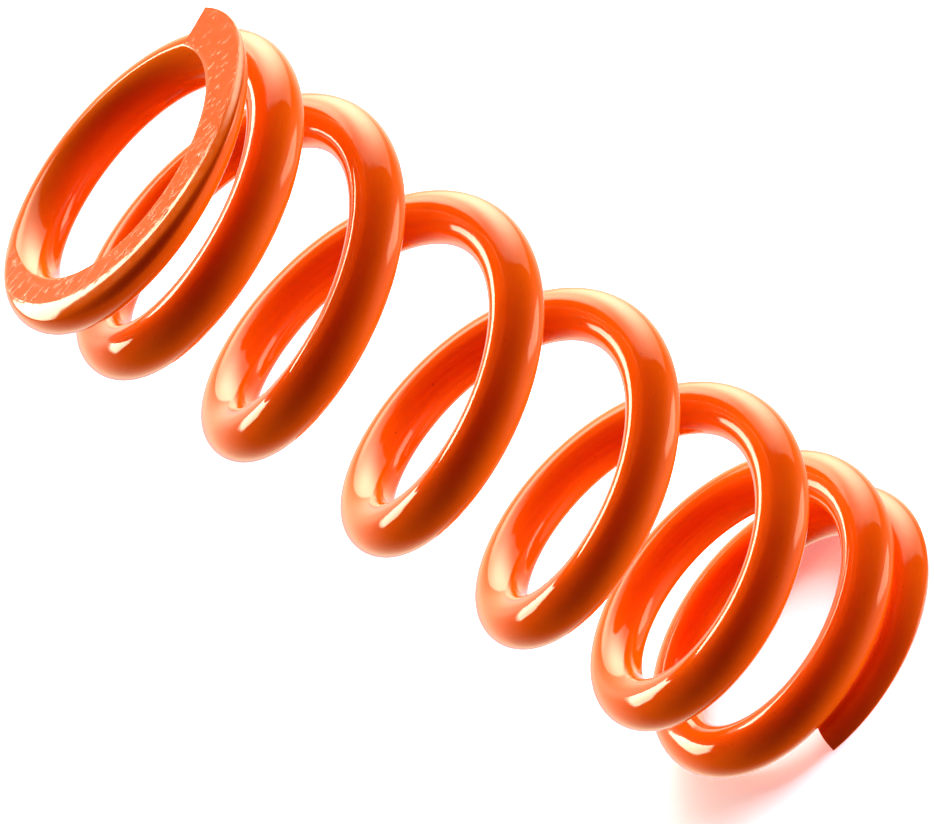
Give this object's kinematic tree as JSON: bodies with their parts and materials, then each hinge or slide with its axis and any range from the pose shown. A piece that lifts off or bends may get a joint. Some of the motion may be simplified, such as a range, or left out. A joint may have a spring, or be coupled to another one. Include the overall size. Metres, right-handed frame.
{
  "type": "shock spring",
  "caption": "Helical compression spring of round painted wire, right-hand wound, with closed, flat-ground end coils and wide open coils between, for a coil-over shock absorber.",
  "frame": {"origin": "centre of the spring's axis in the plane of the lower ground face", "axes": "+Z along the axis of the coil, from the lower ground face to the upper one; the upper tip of the wire lies on +X"},
  "size_m": [0.0508, 0.0508, 0.136],
  "materials": {
    "orange_coat": "gloss powder coat"
  },
  "bodies": {
    "root": {"coil_spring": "orange_coat"}
  },
  "joints": []
}
